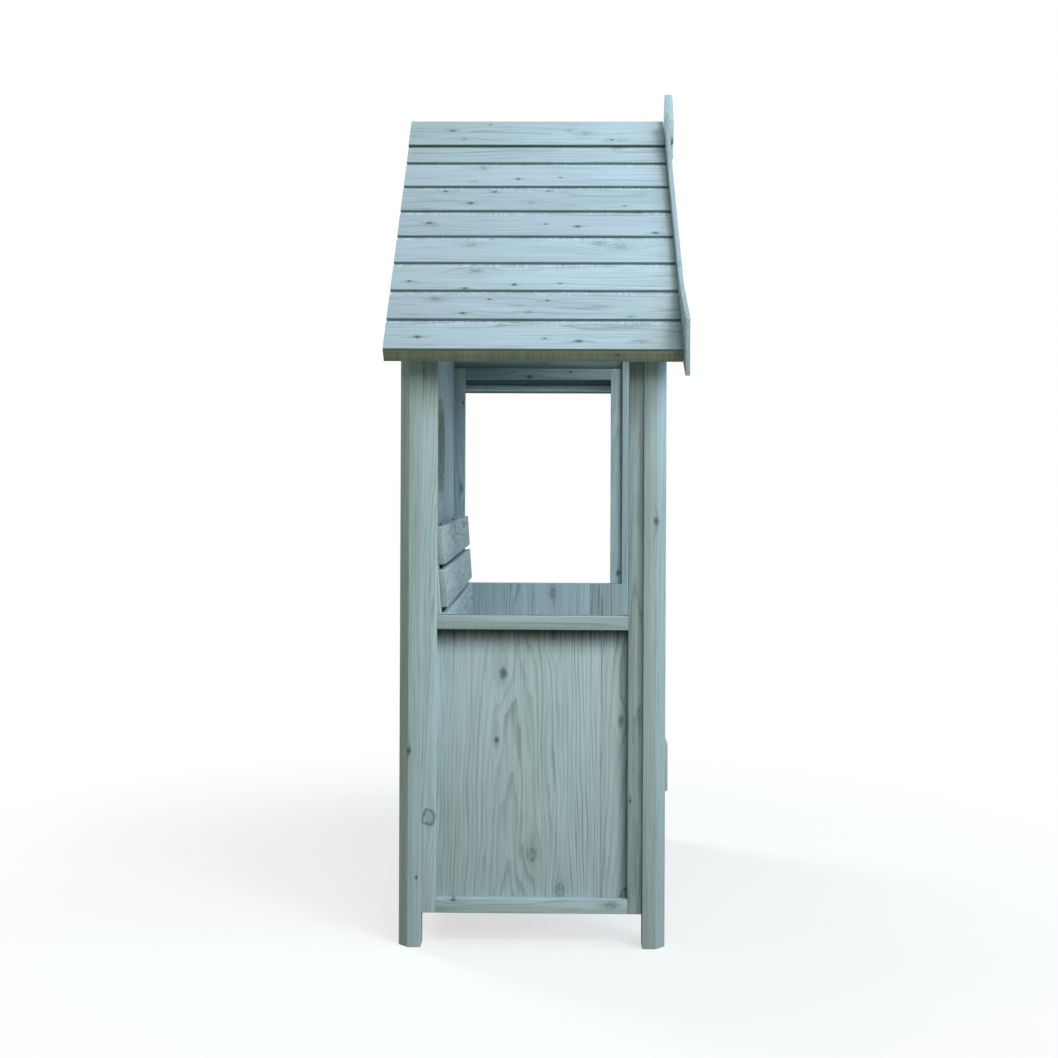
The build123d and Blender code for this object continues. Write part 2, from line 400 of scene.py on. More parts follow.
class Finish(Nodes):
    """A material under construction."""

    def __init__(self, name):
        self.material = bpy.data.materials.new(name)
        self.material.use_nodes = True
        super().__init__(self.material.node_tree)

    def attribute(self, name):
        """The three numbers that each board's mesh carries under this name."""
        made = self.node("ShaderNodeAttribute", {"attribute_name": name}, {})
        return self.split(made.outputs["Vector"])

    def place(self):
        """The point on the piece, in its own coordinates."""
        made = self.node("ShaderNodeTexCoord", {}, {})
        return self.split(made.outputs["Object"])

    def split(self, vector):
        made = self.node("ShaderNodeSeparateXYZ", {}, {0: vector})
        return [Field(self, socket) for socket in made.outputs]

    def noise(self, x, y, z, detail=2.0):
        """Soft noise from 0 to 1 at a point of three fields."""
        point = self.node("ShaderNodeCombineXYZ", {}, {0: x, 1: y, 2: z})
        made = self.node(
            "ShaderNodeTexNoise",
            {},
            {"Vector": point.outputs[0], "Scale": 1.0, "Detail": detail, "Roughness": 0.55},
        )
        return Field(self, made.outputs[0])

    def scatter(self, value):
        """A number from 0 to 1 that jumps with each new value."""
        made = self.node("ShaderNodeTexWhiteNoise", {"noise_dimensions": "1D"}, {"W": value})
        return Field(self, made.outputs["Value"])

    def ease(self, value, start, end):
        """0 before start and 1 after end, with a smooth step between."""
        made = self.node(
            "ShaderNodeMapRange",
            {"interpolation_type": "SMOOTHSTEP"},
            {"Value": value, "From Min": start, "From Max": end},
        )
        return Field(self, made.outputs[0])

    def mix(self, amount, first, second):
        """From the first colour to the second."""
        inputs = {0: amount, 6: self.solid(first), 7: self.solid(second)}
        made = self.node("ShaderNodeMix", {"data_type": "RGBA"}, inputs)
        return made.outputs[2]

    def solid(self, colour):
        """A colour of three numbers with its alpha, or a socket as it is."""
        return colour if isinstance(colour, bpy.types.NodeSocket) else (*colour, 1.0)

    def shade(self, colour, amount):
        """The colour made lighter or darker."""
        inputs = {0: colour, "Scale": amount}
        made = self.node("ShaderNodeVectorMath", {"operation": "SCALE"}, inputs)
        return made.outputs[0]

    def close(self, surface):
        """Join the last shader to the output."""
        self.node("ShaderNodeOutputMaterial", {}, {"Surface": surface.outputs[0]})
        return self.material


class Timber(Finish):
    """Softwood cut from a log: rings round a pith, pushed aside by knots.

    Each board's mesh tells where a point lay in the log, counted in growth rings, and how far it
    is from the board's middle. It also tells the board's half sizes, its rings per metre, its
    tone, which on some far-side boards is painted shade, its seed, and its knots. Lengths are in
    metres.
    """

    ACROSS, THICK, ALONG = range(3)

    def __init__(self, name):
        super().__init__(name)
        self.sizes = bpy.context.scene.arbor_timber
        ring_x, self.ring_y, self.ring_z = self.attribute("grain")
        self.across, self.thick, self.along = self.attribute("place")
        self.half_across, self.half_thick, self.half_along = self.attribute("half")
        rings_per_metre, self.tone, self.seed = self.attribute("board")
        self.knots = self.read_knots()
        self.ring_x = ring_x - self.knots["push"] * rings_per_metre * 0.8
        self.fibre = self.mottle(230, 230, 4, 5.0)

    def mottle(self, across, thick, along, detail=2.0, moved=ACROSS):
        """Soft noise in the board's own directions, the finer the larger the three factors.

        The board's seed moves it along one direction, so that no two boards are alike.
        """
        point = [self.across * across, self.thick * thick, self.along * along]
        point[moved] = point[moved] + self.seed
        return self.noise(*point, detail)

    def read_knots(self):
        """How near the knots are at each point, and what they do to the wood round them."""
        knots = [self.read_knot(index) for index in range(KNOTS_PER_BOARD)]
        blends = {"distance": "MINIMUM", "push": "ADD", "lift": "ADD"}
        return {
            effect: self.fold(blends.get(effect, "MAXIMUM"), [knot[effect] for knot in knots])
            for effect in knots[0]
        }

    def read_knot(self, index):
        """The effects of one knot. All but the distance fade away from it."""
        knot_across, knot_along, size = self.attribute(f"knot_{index}")
        radius = self.math("ABSOLUTE", size)
        sound = self.math("GREATER_THAN", size, 0.0)
        large = self.math("GREATER_THAN", radius, OVAL_KNOT)
        offset = self.across - knot_across
        side = offset / radius
        end = (self.along - knot_along) / radius

        def fading(narrow, short):
            """1 in the middle of the knot, the sooner 0 the larger the two factors."""
            return self.math("EXPONENT", side * side * -narrow - end * end * short)

        distance = self.math("SQRT", side * side + end * end * 0.6)
        near = 1 - self.ease(distance, 1.4, 1.8)
        spread = fading(0.16, 0.02)
        return {
            "distance": distance,
            "push": offset * spread,
            "lift": spread,
            "halo": fading(0.8, 0.035),
            "ink": sound * near,
            "trail": sound * fading(2.2, 0.05),
            "blot": (1 - sound) * (1 - large) * fading(0.5, 0.16),
            "oval": large * near,
        }

    def grow_rings(self, early, broken):
        """Late wood of each year. Some years and some stretches show more than others."""
        x, y, z = self.ring_x, self.ring_y, self.ring_z
        warp = self.noise(x * 0.2, y * 0.2, z * 0.022 + self.seed)
        ripple = self.noise(x * 0.9, y * 0.9, z * 0.03 + self.seed)
        radius = self.math("SQRT", x * x + y * y)
        radius = radius + self.knots["lift"] * 0.9 + (warp - 0.5) * 3.2 + (ripple - 0.5) * 0.45
        year = self.math("FLOOR", radius)
        season = radius - year
        bold = self.ease(self.mottle(16, 9, 1.7), 0.36, 0.62)
        self.late = self.ease(season, early, 0.86) * (1 - self.ease(season, 0.9, 1.0))
        self.late = self.late * (self.scatter(year + self.seed) * 0.7 + 0.3)
        self.late = self.late * (0.42 + bold * 0.58)
        if broken:
            self.late = self.late * self.ease(self.mottle(22, 9, 3.5), 0.4, 0.58)

    def lay_wood(self, contrast, veins, pale, patches):
        """Broad patches, growth rings, fibres and short dark veins."""
        patch = self.ease(self.mottle(7, 7, 1.4), 0.35, 0.68)
        streak = self.noise(
            self.ring_x * 1.6 + self.seed, self.ring_y * 1.6, self.along * 2.2, 3.0
        )
        vein = self.ease(self.mottle(170, 170, 6, 3.0), 0.58, 0.7)
        vein = vein * self.ease(self.mottle(24, 24, 5, moved=self.THICK), 0.42, 0.62)
        self.colour = self.mix(patch, pale, patches)
        self.colour = self.mix(self.late * contrast, self.colour, self.sizes.ring)
        self.relief = 1 + (self.fibre - 0.5) * 0.6 + (streak - 0.5) * 0.26
        # The board's tone, with painted shade on some far-side boards
        self.relief = self.relief + self.tone - vein * veins
        self.height = self.fibre * 0.35 - self.late * 0.5

    def mark_with_saw(self, depth):
        """Saw marks and stains on every face but the inner one, which is smooth and painted
        lighter as painted light.
        """
        cut = self.mottle(9, 9, 190, 4.0)
        stain = self.mottle(6, 6, 34, 3.0)
        planed = self.ease(self.thick - self.half_thick, -0.003, -0.002)
        marks = ((cut - 0.5) * depth + (stain - 0.5) * 0.5) * (1 - planed)
        # Painted light: the smooth inner face is made paler and brighter
        self.colour = self.mix(planed, self.colour, self.sizes.pale)
        self.relief = (self.relief + marks) * (1 + planed * 1.5)
        self.height = self.height + marks * 2

    def comb_scoop(self):
        """Pale dashes and dark notches that the cutter left in the scoop under the lap."""
        strip = self.ease(self.across, *SCOOP_FOOT) * (1 - self.ease(self.across, *SCOOP_HEAD))
        chatter = self.mottle(28, 10, 150, 3.0, moved=self.THICK)
        gouged = self.noise(self.seed, 0.0, self.along * 17)
        dashes = strip * self.ease(chatter, 0.44, 0.58) * self.ease(gouged, 0.36, 0.54)
        notches = strip * self.ease(chatter, 0.4, 0.34) * self.ease(gouged, 0.36, 0.56)
        self.relief = self.relief + dashes * 0.3 - notches * 0.26
        self.height = self.height - dashes * 0.3

    def paint_lap_shade(self, amount):
        """Painted shadow: a dark line along the lower edge of each lap, and painted shade
        darkening the underside.
        """
        edge = 1 - self.ease(self.half_across + self.across, 0.0003, 0.0012)
        below = self.ease(self.thick, 0.0, 0.004)
        dark = tinted(self.sizes.ring, 0.62, 0.62, 0.5)
        self.colour = self.mix(edge * amount, self.colour, dark)
        self.relief = self.relief * (1 - below * 0.66)

    def paint_panel_shade(self, amount):
        """Painted shade on the outer face, darkest under the rail and beside the stile."""
        low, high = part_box("left_middle_rail")
        hidden = high.z - low.z + RAIL_LINE
        under_rail = self.ease(self.along - self.half_along, -hidden - RAIL_SHADE, -hidden)
        by_stile = 1 - self.ease(self.across, *STILE_SHADE)
        narrow = self.math("LESS_THAN", self.half_across, NARROW_BOARD / 2)
        outside = self.math("GREATER_THAN", self.thick, 0.0)
        shade = self.math("MAXIMUM", under_rail, by_stile * narrow * 0.5)
        self.relief = self.relief - shade * outside * amount

    def draw_knots(self, outline):
        """Halos, swirls, ragged rims and dark hearts."""
        ink = self.knots["ink"]
        ragged = self.mottle(130, 130, 100, 4.0, moved=self.ALONG)
        swirl = self.ease(self.mottle(240, 240, 90, 3.0), 0.38, 0.62)
        distance = self.knots["distance"] + (ragged - 0.5) * 1.3
        halo = self.knots["halo"] * (ink * 0.2 + 0.12) + self.knots["trail"] * 0.3
        rim = self.ease(distance, 0.6, 0.9) * (1 - self.ease(distance, 0.95, 1.3))
        rim = rim * (ink * 0.25 + self.knots["oval"] * 0.4 + outline) * (0.4 + ragged * 1.2)
        heart = 1 - self.ease(distance, 0.45, 1.0)
        stains = (
            (halo, self.sizes.ring),
            (self.knots["blot"] * swirl * 0.7, self.sizes.ring),
            (rim, self.sizes.knot),
            (heart * (ink * 0.7 + 0.16), self.sizes.knot),
        )
        for amount, stain in stains:
            self.colour = self.mix(amount, self.colour, stain)
        self.height = self.height - heart * ink * 0.5

    def wear_edges(self):
        """Arrises rubbed pale, and end grain that drank more of the treatment."""
        to_side = self.half_across - self.math("ABSOLUTE", self.across)
        to_face = self.half_thick - self.math("ABSOLUTE", self.thick)
        to_end = self.half_along - self.math("ABSOLUTE", self.along)
        nearer = self.math("MINIMUM", to_side, to_face)
        farther = self.math("MAXIMUM", to_side, to_face)
        # Near an arris two of the three distances are small
        to_arris = self.math("MAXIMUM", nearer, self.math("MINIMUM", farther, to_end))
        rubbed = 1 - self.ease(to_arris + (self.fibre - 0.5) * 0.002, 0.0008, 0.003)
        cut_end = 1 - self.ease(to_end, 0.0006, 0.0016)
        self.relief = self.relief + rubbed * 0.1 - cut_end * 0.14

    def finished(self):
        """Join colour, roughness and height into the surface."""
        height = {"Strength": 0.5, "Distance": 0.0008, "Height": self.height}
        bump = self.node("ShaderNodeBump", {}, height)
        surface = self.node(
            "ShaderNodeBsdfPrincipled",
            {},
            {
                "Base Color": self.shade(self.colour, self.relief),
                "Roughness": 0.66 + self.late * 0.1 + (self.fibre - 0.5) * 0.14,
                "Specular IOR Level": 0.3,
                "Normal": bump.outputs[0],
            },
        )
        return self.close(surface)


# Finishes


def tinted(colour, *factors):
    """A colour with each channel multiplied."""
    return tuple(channel * factor for channel, factor in zip(colour, factors))


def treated_timber(
    name,
    contrast,
    early=0.4,
    veins=0.16,
    outline=0.3,
    saw_marks=0.0,
    scooped=False,
    raw_edge=0.0,
    painted_panel_shade=0.0,
    pale=None,
    patches=None,
):
    """Softwood with as much of each feature as a piece shows."""
    timber = Timber(name)
    timber.grow_rings(early, broken=scooped)
    timber.lay_wood(contrast, veins, pale or timber.sizes.pale, patches or timber.sizes.green)
    # Saw marks, with painted light on the eave boards' inner face
    if saw_marks:
        timber.mark_with_saw(saw_marks)
    if scooped:
        timber.comb_scoop()
    # Painted shadow under each lap and painted shade on the underside
    if raw_edge:
        timber.paint_lap_shade(raw_edge)
    # Painted shade on the side panels under the rail and beside the stile
    if painted_panel_shade:
        timber.paint_panel_shade(painted_panel_shade)
    timber.draw_knots(outline)
    timber.wear_edges()
    return timber.finished()


def planed_timber(name):
    """Framing and trim."""
    return treated_timber(name, contrast=0.5)


def slat_timber(name):
    """Bench and backrest slats, with a bold grain."""
    return treated_timber(name, contrast=0.75)


def panel_timber(name):
    """Side panels, with painted shade under their rails and beside the front stile."""
    return treated_timber(name, contrast=0.7, early=0.45, painted_panel_shade=0.8)


def bluer_roof_timber(name, **features):
    """Roof timber, tinted a little darker and bluer than the rest."""
    sizes = bpy.context.scene.arbor_timber
    pale = tinted(sizes.pale, 0.95, 0.94, 0.98)
    patches = tinted(sizes.green, 0.965, 0.945, 1.0)
    return treated_timber(
        name, veins=0.32, outline=0.08, pale=pale, patches=patches, **features
    )


def roof_timber(name):
    """Lapped roof boards with the cutter's marks in their scoops."""
    return bluer_roof_timber(name, contrast=0.55, early=0.6, scooped=True, raw_edge=0.66)


def ridge_timber(name):
    """Ridge boards, which have no scoop."""
    return bluer_roof_timber(name, contrast=0.4, early=0.55, raw_edge=0.92)


def rough_sawn_timber(name):
    """Eave boards, rough sawn, with a smooth inner face painted lighter as painted light."""
    rough = bpy.context.scene.arbor_timber.rough
    patches = tinted(rough, 0.85, 0.95, 0.95)
    return treated_timber(name, contrast=0.3, saw_marks=0.8, pale=rough, patches=patches)


def screw_metal(name):
    """Dull coated steel, mottled with a little dirt."""
    finish = Finish(name)
    x, y, z = finish.place()
    dirt = finish.noise(x * 900, y * 900, z * 900)
    surface = finish.node(
        "ShaderNodeBsdfPrincipled",
        {},
        {
            "Base Color": finish.mix(dirt, (0.16, 0.19, 0.17), (0.3, 0.35, 0.33)),
            "Roughness": 0.5 + (dirt - 0.5) * 0.3,
            "Metallic": 0.6,
        },
    )
    return finish.close(surface)


FINISHES = {
    "planed timber": planed_timber,
    "slat timber": slat_timber,
    "panel timber": panel_timber,
    "roof timber": roof_timber,
    "ridge timber": ridge_timber,
    "rough sawn timber": rough_sawn_timber,
    "screw heads": screw_metal,
}


def finish_named(name):
    """The material of this name, made when the first piece asks for it."""
    if name not in bpy.data.materials:
        FINISHES[name](name)
    return bpy.data.materials[name]


# Timbers


def deselect():
    bpy.ops.object.select_all(action="DESELECT")


def make_active(piece):
    deselect()
    piece.select_set(True)
    bpy.context.view_layer.objects.active = piece


def merged_copy(node, name):
    """A copy of a CAD node with its own mesh of whole faces."""
    make_active(frame["nodes"][node])
    bpy.ops.object.duplicate(linked=False)
    piece = bpy.context.view_layer.objects.active
    piece.name = name
    piece.data.name = name
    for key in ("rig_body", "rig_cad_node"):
        del piece[key]
    piece.parent = None
    piece.data.materials.clear()
    bpy.ops.object.mode_set(mode="EDIT")
    bpy.ops.mesh.select_all(action="SELECT")
    bpy.ops.mesh.remove_doubles(threshold=SAME_POINT)
    bpy.ops.mesh.dissolve_limited(angle_limit=FLAT)
    bpy.ops.object.mode_set(mode="OBJECT")
    return piece


def ease_edges(piece, radius):
    """Round the piece's sharp edges over."""
    make_active(piece)
    bevel = piece.modifiers.new("arrises", "BEVEL")
    bevel.width = radius
    bevel.segments = 2
    bevel.limit_method = "ANGLE"
    bevel.angle_limit = SHARP
    bpy.ops.object.modifier_apply(modifier=bevel.name)
    bpy.ops.object.shade_smooth_by_angle(angle=SMOOTH)


def loose_boards(mesh):
    """The mesh's separate boards, each a list of vertex numbers, in the order of their places."""
    leader = list(range(len(mesh.vertices)))

    def lead(index):
        while leader[index] != index:
            leader[index] = leader[leader[index]]
            index = leader[index]
        return index

    for edge in mesh.edges:
        first, second = (lead(index) for index in edge.vertices)
        leader[second] = first
    boards = {}
    for index in range(len(mesh.vertices)):
        boards.setdefault(lead(index), []).append(index)
    return list(boards.values())


def write_vectors(mesh, name, values):
    layer = mesh.attributes.new(name, "FLOAT_VECTOR", "POINT")
    layer.data.foreach_set("vector", [number for value in values for number in value])


def chance_cut(chance, ring_gap, pith, tilt, swing):
    """Ring spacing, place of the pith and its drift along one board."""
    gap = ring_gap * chance.uniform(0.85, 1.2)
    turn = chance.uniform(-0.5, 0.5) + swing
    reach = pith * chance.uniform(0.7, 1.4)
    slant = chance.uniform(-tilt, tilt)
    return gap, (reach * sin(turn), reach * cos(turn)), (slant, slant)


def chance_knots(chance, half_across, half_along):
    """A few small knots, fewer on a short board."""
    knots = []
    for _ in range(chance.randint(1, KNOTS_PER_BOARD)):
        size = chance.choice(KNOT_SIZES)
        across = chance.uniform(-0.9, 0.9) * half_across
        along = chance.uniform(-0.95, 0.95) * half_along
        if chance.random() < half_along * 1.2:
            knots.append((across, along, size))
    return knots


def grain_boards(
    piece, along, across, ring_gap, pith, tone, knots=None, cuts=None, tilt=0.03, swing=0.0
):
    """Give each board of a piece its own cut through the log, and its knots.

    The boards are numbered in the direction across them. A swing turns the pith towards the
    board's edge, which sets the rings on end and draws finer lines on its face.
    """
    mesh = piece.data
    axes = (across, along.cross(across), along)
    knot_names = [f"knot_{index}" for index in range(KNOTS_PER_BOARD)]
    names = ("grain", "place", "half", "board", *knot_names)
    layers = {name: [None] * len(mesh.vertices) for name in names}
    boards = loose_boards(mesh)
    boards.sort(key=lambda board: sum(mesh.vertices[i].co.dot(across) for i in board) / len(board))
    for number, board in enumerate(boards):
        chance = random.Random(f"{piece.name} {number}")
        local = [[mesh.vertices[i].co.dot(axis) for axis in axes] for i in board]
        low = [min(point[k] for point in local) for k in range(3)]
        high = [max(point[k] for point in local) for k in range(3)]
        half = [(b - a) / 2 for a, b in zip(low, high)]
        centre = [(b + a) / 2 for a, b in zip(low, high)]
        cut = chance_cut(chance, ring_gap, pith, tilt, swing)
        gap, heart, slant = cuts[number] if cuts else cut
        facts = (1 / gap, chance.uniform(-0.06, 0.06) + tone, chance.uniform(0, 60))
        if knots and number in knots:
            board_knots = knots[number]
        else:
            board_knots = chance_knots(chance, half[0], half[2])
        spare = KNOTS_PER_BOARD - len(board_knots)
        board_knots = [*board_knots, *[NO_KNOT] * spare]
        for vertex, point in zip(board, local):
            place = [a - b for a, b in zip(point, centre)]
            grain = (
                (place[0] + heart[0] + slant[0] * place[2]) / gap,
                (place[1] + heart[1] + slant[1] * place[2]) / gap,
                place[2] / gap,
            )
            for name, value in zip(names, (grain, place, half, facts, *board_knots)):
                layers[name][vertex] = value
    for name, values in layers.items():
        write_vectors(mesh, name, values)


def dress(node, slot, finish, along, across, ring_gap=0.006, pith=0.06, radius=None, **grain):
    """Stand an eased and grained timber in for one CAD node."""
    sizes = bpy.context.scene.arbor_timber
    piece = merged_copy(node, f"{node}_timber")
    ease_edges(piece, radius or sizes.arris)
    grain_boards(piece, along, across, ring_gap, pith, BOARD_TONES_AND_SHADE.get(node, 0), **grain)
    piece.data.materials.append(finish_named(finish))
    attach(piece, "root")
    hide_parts(node)
    return piece


def middle_of(node, direction):
    """Middle of a CAD node along a direction."""
    low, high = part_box(node)
    return (low + high).dot(direction) / 2


def screw_places(piece, supports, row, along, across, out):
    """Two places, a row apart from the board's middle, where each board crosses a support."""
    places = []
    for board in loose_boards(piece.data):
        points = [piece.data.vertices[index].co for index in board]
        middle = (min(p.dot(across) for p in points) + max(p.dot(across) for p in points)) / 2
        face = max(p.dot(out) for p in points)
        start = min(p.dot(along) for p in points) + SCREW_MARGIN
        end = max(p.dot(along) for p in points) - SCREW_MARGIN
        for support in supports:
            column = middle_of(support, along)
            if start < column < end:
                for side in (middle - row, middle + row):
                    places.append(along * column + across * side + out * face)
    return places


def screw_head():
    """One screw head, its recess upwards."""
    bpy.ops.mesh.primitive_cylinder_add(vertices=10, radius=SCREW_RADIUS, depth=SCREW_DEPTH)
    head = bpy.context.view_layer.objects.active
    bpy.ops.object.mode_set(mode="EDIT")
    bpy.ops.mesh.select_all(action="DESELECT")
    bpy.ops.object.mode_set(mode="OBJECT")
    for face in head.data.polygons:
        face.select = face.normal.z > 0.9
    bpy.ops.object.mode_set(mode="EDIT")
    bpy.ops.mesh.inset(thickness=SCREW_RIM)
    bpy.ops.transform.translate(value=(0, 0, -SCREW_RECESS))
    bpy.ops.object.mode_set(mode="OBJECT")
    return head


def fixings(piece, supports, row, along, across, out):
    """Small screw heads where the boards of a piece cross their supports."""
    head = screw_head()
    heads = [head]
    places = screw_places(piece, supports, row, along, across, out)
    for _ in places[1:]:
        make_active(head)
        bpy.ops.object.duplicate(linked=False)
        heads.append(bpy.context.view_layer.objects.active)
    turn = out.to_track_quat("Z", "Y").to_euler()
    for each, place in zip(heads, places):
        each.location = place - out * SCREW_SUNK
        each.rotation_euler = turn
    deselect()
    for each in heads:
        each.select_set(True)
    bpy.context.view_layer.objects.active = head
    bpy.ops.object.join()
    bpy.ops.object.transform_apply(location=True, rotation=True, scale=True)
    head.name = piece.name.replace("_timber", "_screws")
    head.data.name = head.name
    head.data.materials.append(finish_named("screw heads"))
    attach(head, "root")


def frame_timber(node, along, across, **cut):
    """Dress one planed timber of the framing."""
    return dress(node, "framing", "planed timber", along, across, **cut)


# Pieces

SIDES = ("left", "right")
ENDS = ("front", "back")
ACROSS_THE_SEAT = ("left", "middle", "right")

# Which way along X the roof climbs on each side
CLIMBS = {"left": 1, "right": -1}


def climb(side):
    """Direction up the slope of the roof on one side."""
    return Vector((CLIMBS[side] * cos(PITCH), 0, sin(PITCH)))


def out_of_roof(side):
    """Direction out of the roof's face on one side."""
    return Vector((-CLIMBS[side] * sin(PITCH), 0, cos(PITCH)))


def along_roof(side):
    """Direction of the roof boards, turned so that their thickness counts inwards on each side."""
    return Y_AXIS * CLIMBS[side]


class ARBOR_OT_posts(bpy.types.Operator):
    """Four corner posts with chamfered outer corners"""

    bl_idname = "arbor.posts"
    bl_label = "Corner posts"

    def execute(self, context):
        for side in SIDES:
            for end in ENDS:
                post = f"{side}_{end}_post"
                frame_timber(
                    post,
                    Z_AXIS,
                    Y_AXIS,
                    ring_gap=0.0042,
                    pith=0.09,
                    tilt=0.012,
                    swing=1.05,
                    knots=POST_KNOTS.get(post),
                )
        return {"FINISHED"}


class ARBOR_OT_side_frames(bpy.types.Operator):
    """Stiles and rails of the two side frames"""

    bl_idname = "arbor.side_frames"
    bl_label = "Side frames"

    def execute(self, context):
        for side in SIDES:
            for end, swing in (("front", 0.0), ("back", 0.8)):
                stile = f"{side}_{end}_stile"
                frame_timber(
                    stile,
                    Z_AXIS,
                    Y_AXIS,
                    ring_gap=0.0055,
                    pith=0.05,
                    swing=swing,
                    knots=STILE_KNOTS.get(stile),
                )
            for place in ("bottom", "middle", "top"):
                frame_timber(f"{side}_{place}_rail", Y_AXIS, Z_AXIS, pith=0.03)
        return {"FINISHED"}


class ARBOR_OT_side_panels(bpy.types.Operator):
    """Wide lower panels behind the side frames"""

    bl_idname = "arbor.side_panels"
    bl_label = "Side panels"

    def execute(self, context):
        panels = (
            ("left", Y_AXIS, PANEL_KNOTS, PANEL_CUTS),
            ("right", -Y_AXIS, FAR_PANEL_KNOTS, None),
        )
        for side, across, knots, cuts in panels:
            panel = f"{side}_side_panel"
            dress(panel, "side_panels", "panel timber", Z_AXIS, across, knots=knots, cuts=cuts)
        return {"FINISHED"}


class ARBOR_OT_roof_boards(bpy.types.Operator):
    """Lapped roof boards and the ridge boards over them"""

    bl_idname = "arbor.roof_boards"
    bl_label = "Roof boards"

    def execute(self, context):
        for side, roof_knots, ridge_knots in (
            ("left", ROOF_KNOTS, RIDGE_KNOTS),
            ("right", None, None),
        ):
            dress(
                f"{side}_roof_boards",
                "roof_boards",
                "roof timber",
                along_roof(side),
                climb(side),
                ring_gap=0.009,
                pith=0.05,
                radius=FINE_ARRIS,
                knots=roof_knots,
            )
            dress(
                f"{side}_ridge_board",
                "roof_boards",
                "ridge timber",
                along_roof(side),
                climb(side),
                ring_gap=0.009,
                knots=ridge_knots,
            )
        return {"FINISHED"}


class ARBOR_OT_roof_framing(bpy.types.Operator):
    """Rafters, battens and eave boards that carry the roof boards"""

    bl_idname = "arbor.roof_framing"
    bl_label = "Roof framing"

    def execute(self, context):
        for side in SIDES:
            for end in ENDS:
                frame_timber(f"{side}_{end}_rafter", climb(side), Y_AXIS)
            frame_timber(f"{side}_roof_batten", Y_AXIS, climb(side))
            dress(
                f"{side}_eave_board",
                "trim_boards",
                "rough sawn timber",
                along_roof(side),
                out_of_roof(side),
                radius=FINE_ARRIS,
            )
        return {"FINISHED"}


class ARBOR_OT_bargeboards(bpy.types.Operator):
    """Swept bargeboards and the finial let in between them"""

    bl_idname = "arbor.bargeboards"
    bl_label = "Bargeboards and finial"

    def execute(self, context):
        for side in SIDES:
            dress(
                f"{side}_bargeboard",
                "trim_boards",
                "planed timber",
                climb(side),
                out_of_roof(side),
                ring_gap=0.007,
                pith=0.05,
            )
        dress("finial", "trim_boards", "planed timber", Z_AXIS, X_AXIS, pith=0.04)
        return {"FINISHED"}


class ARBOR_OT_back_wall(bpy.types.Operator):
    """Upright back boards with their round opening, and the rails behind them"""

    bl_idname = "arbor.back_wall"
    bl_label = "Back wall"

    def execute(self, context):
        wall = dress(
            "back_wall_boards",
            "wall_boards",
            "planed timber",
            Z_AXIS,
            X_AXIS,
            ring_gap=0.007,
            pith=0.05,
        )
        rails = [f"back_{place}_rail" for place in ("bottom", "middle", "top")]
        fixings(wall, rails, 0.03, Z_AXIS, X_AXIS, -Y_AXIS)
        for rail in rails:
            frame_timber(rail, X_AXIS, Z_AXIS)
        return {"FINISHED"}


class ARBOR_OT_seat(bpy.types.Operator):
    """Apron, bearers, back rail and slats of the bench"""

    bl_idname = "arbor.seat"
    bl_label = "Bench"

    def execute(self, context):
        dress(
            "seat_apron",
            "seat_boards",
            "planed timber",
            X_AXIS,
            Z_AXIS,
            ring_gap=0.007,
            pith=0.05,
        )
        slats = dress(
            "seat_slats",
            "seat_boards",
            "slat timber",
            X_AXIS,
            Y_AXIS,
            ring_gap=0.0055,
            pith=0.04,
            tilt=0.04,
            radius=0.003,
        )
        bearers = [f"{place}_seat_bearer" for place in ACROSS_THE_SEAT]
        fixings(slats, bearers, 0.027, X_AXIS, Y_AXIS, Z_AXIS)
        frame_timber("seat_back_rail", X_AXIS, Z_AXIS)
        for place in (*SIDES, "middle"):
            frame_timber(f"{place}_seat_bearer", Y_AXIS, Z_AXIS)
        return {"FINISHED"}


class ARBOR_OT_backrest(bpy.types.Operator):
    """Reclined slats of the backrest on their supports"""

    bl_idname = "arbor.backrest"
    bl_label = "Backrest"

    def execute(self, context):
        slats = dress(
            "backrest_slats",
            "seat_boards",
            "slat timber",
            X_AXIS,
            RECLINE_UP,
            ring_gap=0.0055,
            pith=0.04,
            tilt=0.04,
            radius=0.002,
        )
        supports = [f"{place}_backrest_support" for place in ACROSS_THE_SEAT]
        fixings(slats, supports, 0.025, X_AXIS, RECLINE_UP, X_AXIS.cross(RECLINE_UP))
        for place in (*SIDES, "middle"):
            frame_timber(f"{place}_backrest_support", RECLINE_UP, X_AXIS)
        return {"FINISHED"}


# Stage


def studio_floor(sizes):
    """A floor that stays pale to the camera and keeps the seat's shadow."""
    bpy.ops.mesh.primitive_plane_add(size=60, location=(0, 0, 0))
    floor = bpy.context.view_layer.objects.active
    floor.name = "studio_floor"
    finish = Finish("studio floor")
    x, y, _ = finish.place()
    far = finish.ease(finish.math("SQRT", x * x + y * y), *FLOOR_CLEARS)
    seen = finish.seen()
    matt_colour = finish.mix(seen, (0.26, 0.26, 0.2), sizes.floor)
    matt = finish.node("ShaderNodeBsdfDiffuse", {}, {"Color": matt_colour})
    white = finish.node("ShaderNodeEmission", {}, {"Color": (1, 1, 1, 1), "Strength": 1.0})
    amount = seen * (0.66 + far * 0.34)
    inputs = {0: amount, 1: matt.outputs[0], 2: white.outputs[0]}
    floor.data.materials.append(finish.close(finish.node("ShaderNodeMixShader", {}, inputs)))


def studio_world(sizes):
    """Even light from all round, seen as white."""
    world = bpy.data.worlds.new("studio surround")
    bpy.context.scene.world = world
    world.use_nodes = True
    nodes = Nodes(world.node_tree)
    light = {"Color": (0.96, 1.0, 0.66, 1), "Strength": sizes.ambient}
    even = nodes.node("ShaderNodeBackground", {}, light)
    white = nodes.node("ShaderNodeBackground", {}, {"Color": (1, 1, 1, 1)})
    inputs = {0: nodes.seen(), 1: even.outputs[0], 2: white.outputs[0]}
    blend = nodes.node("ShaderNodeMixShader", {}, inputs)
    nodes.node("ShaderNodeOutputWorld", {}, {"Surface": blend.outputs[0]})


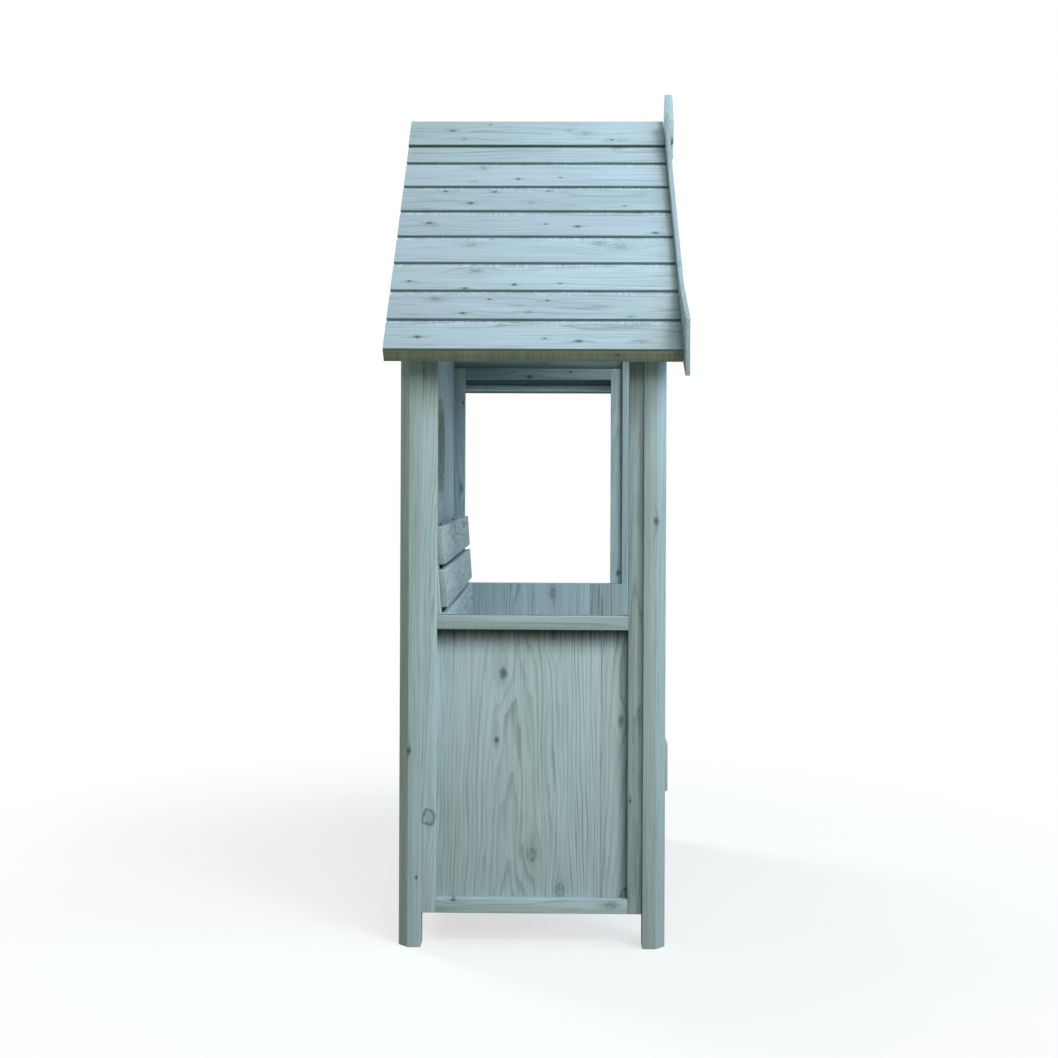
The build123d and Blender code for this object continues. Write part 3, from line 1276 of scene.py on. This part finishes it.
def studio_camera(sizes):
    """The photograph's level view of the left side, with its slight roll."""
    forward = Vector((cos(CAMERA_YAW), sin(CAMERA_YAW), 0))
    up = (Z_AXIS - forward.cross(Z_AXIS) * CAMERA_ROLL).normalized()
    side = forward.cross(up)
    camera = bpy.data.objects.new("camera", bpy.data.cameras.new("camera"))
    bpy.context.scene.collection.objects.link(camera)
    turned = Matrix((side, up, -forward)).transposed().to_4x4()
    camera.matrix_world = Matrix.Translation(CAMERA_PLACE) @ turned
    camera.data.sensor_width = 36
    camera.data.lens = sizes.lens
    camera.data.shift_y = -PHOTO_HORIZON / PHOTO_WIDTH
    bpy.context.scene.camera = camera


def studio_lamps(sizes):
    """Large soft lamps, the strongest at the front on the photographed side."""
    for name, place, width, power, colour in LAMPS:
        bpy.ops.object.light_add(type="AREA", location=place)
        lamp = bpy.context.view_layer.objects.active
        lamp.name = f"{name}_lamp"
        lamp.data.shape = "DISK"
        lamp.data.size = width
        lamp.data.energy = power * sizes.lamps
        lamp.data.color = colour
        lamp.rotation_euler = (LAMP_AIM - lamp.location).to_track_quat("-Z", "Y").to_euler()


class ARBOR_OT_stage(bpy.types.Operator):
    """Floor, surround, lamps and the photograph's camera"""

    bl_idname = "arbor.stage"
    bl_label = "Studio"

    def execute(self, context):
        sizes = context.scene.arbor_stage
        studio_floor(sizes)
        studio_world(sizes)
        studio_lamps(sizes)
        studio_camera(sizes)
        context.scene.view_settings.view_transform = "Standard"
        return {"FINISHED"}


OPERATORS = (
    ARBOR_OT_posts,
    ARBOR_OT_side_frames,
    ARBOR_OT_side_panels,
    ARBOR_OT_roof_boards,
    ARBOR_OT_roof_framing,
    ARBOR_OT_bargeboards,
    ARBOR_OT_back_wall,
    ARBOR_OT_seat,
    ARBOR_OT_backrest,
    ARBOR_OT_stage,
)


class ARBOR_PT_panel(bpy.types.Panel):
    """Lists the pieces of the arbor seat"""

    bl_idname = "ARBOR_PT_panel"
    bl_label = "Arbor seat"
    bl_space_type = "VIEW_3D"
    bl_region_type = "UI"
    bl_category = "Arbor seat"

    def draw(self, context):
        for group in (context.scene.arbor_timber, context.scene.arbor_stage):
            for name in group.__annotations__:
                self.layout.prop(group, name)
        for operator in OPERATORS:
            self.layout.operator(operator.bl_idname)


CLASSES = (TimberProperties, StageProperties, *OPERATORS, ARBOR_PT_panel)


def register():
    for each in CLASSES:
        bpy.utils.register_class(each)
    bpy.types.Scene.arbor_timber = bpy.props.PointerProperty(type=TimberProperties)
    bpy.types.Scene.arbor_stage = bpy.props.PointerProperty(type=StageProperties)


def unregister():
    del bpy.types.Scene.arbor_stage
    del bpy.types.Scene.arbor_timber
    for each in reversed(CLASSES):
        bpy.utils.unregister_class(each)


def main():
    register()
    bpy.ops.arbor.posts()
    bpy.ops.arbor.side_frames()
    bpy.ops.arbor.side_panels()
    bpy.ops.arbor.roof_boards()
    bpy.ops.arbor.roof_framing()
    bpy.ops.arbor.bargeboards()
    bpy.ops.arbor.back_wall()
    bpy.ops.arbor.seat()
    bpy.ops.arbor.backrest()
    bpy.ops.arbor.stage()


if __name__ == "__main__":
    main()
